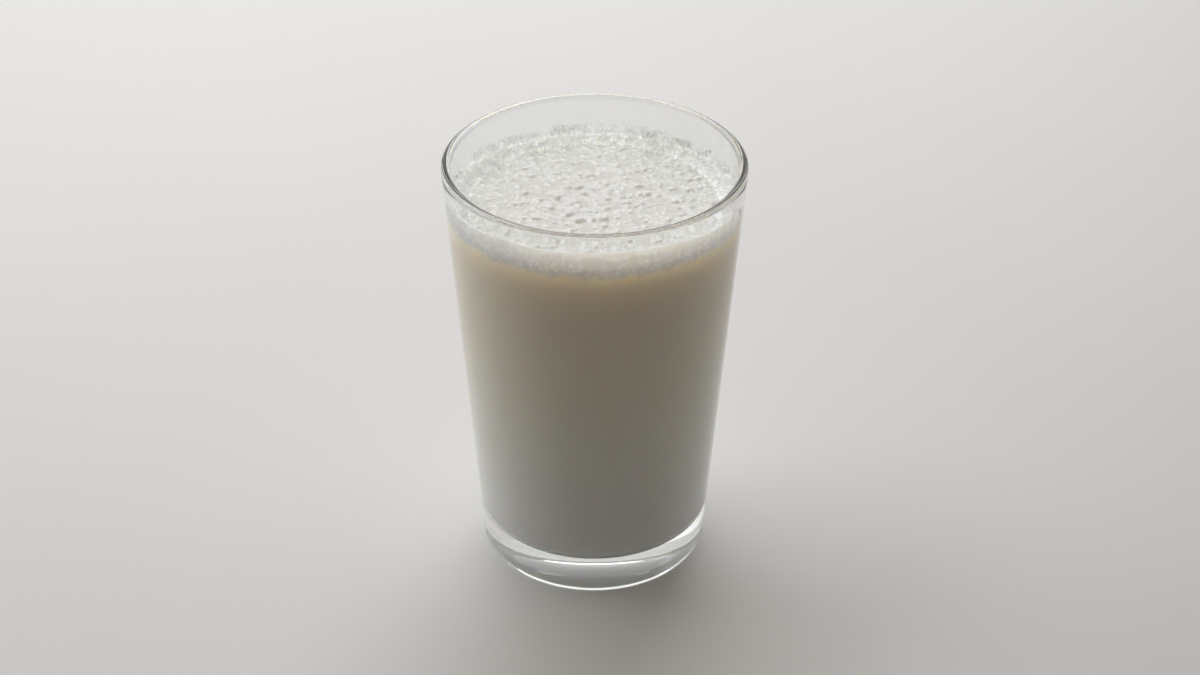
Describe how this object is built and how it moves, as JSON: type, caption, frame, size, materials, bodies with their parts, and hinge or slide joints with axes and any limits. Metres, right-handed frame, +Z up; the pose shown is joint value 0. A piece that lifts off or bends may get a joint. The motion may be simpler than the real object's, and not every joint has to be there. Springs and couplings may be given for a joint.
{
  "type": "glass of milk",
  "caption": "Tapered clear drinking glass with a thick base, filled nearly to the lip with milk that carries a bubbly froth.",
  "frame": {"origin": "middle of the underside of the glass, on the surface it stands on", "axes": "+Z up along the axis of the glass; -Y is the side that the picture's camera looks at"},
  "size_m": [0.076, 0.076, 0.1126],
  "materials": {
    "clear_glass": "clear, smooth, fire polished",
    "milk": "wet, opaque, creamy white",
    "froth": "fine bubbles, soft sheen"
  },
  "bodies": {
    "root": {"tumbler": "clear_glass", "milk": "milk", "froth": "froth"}
  },
  "joints": []
}
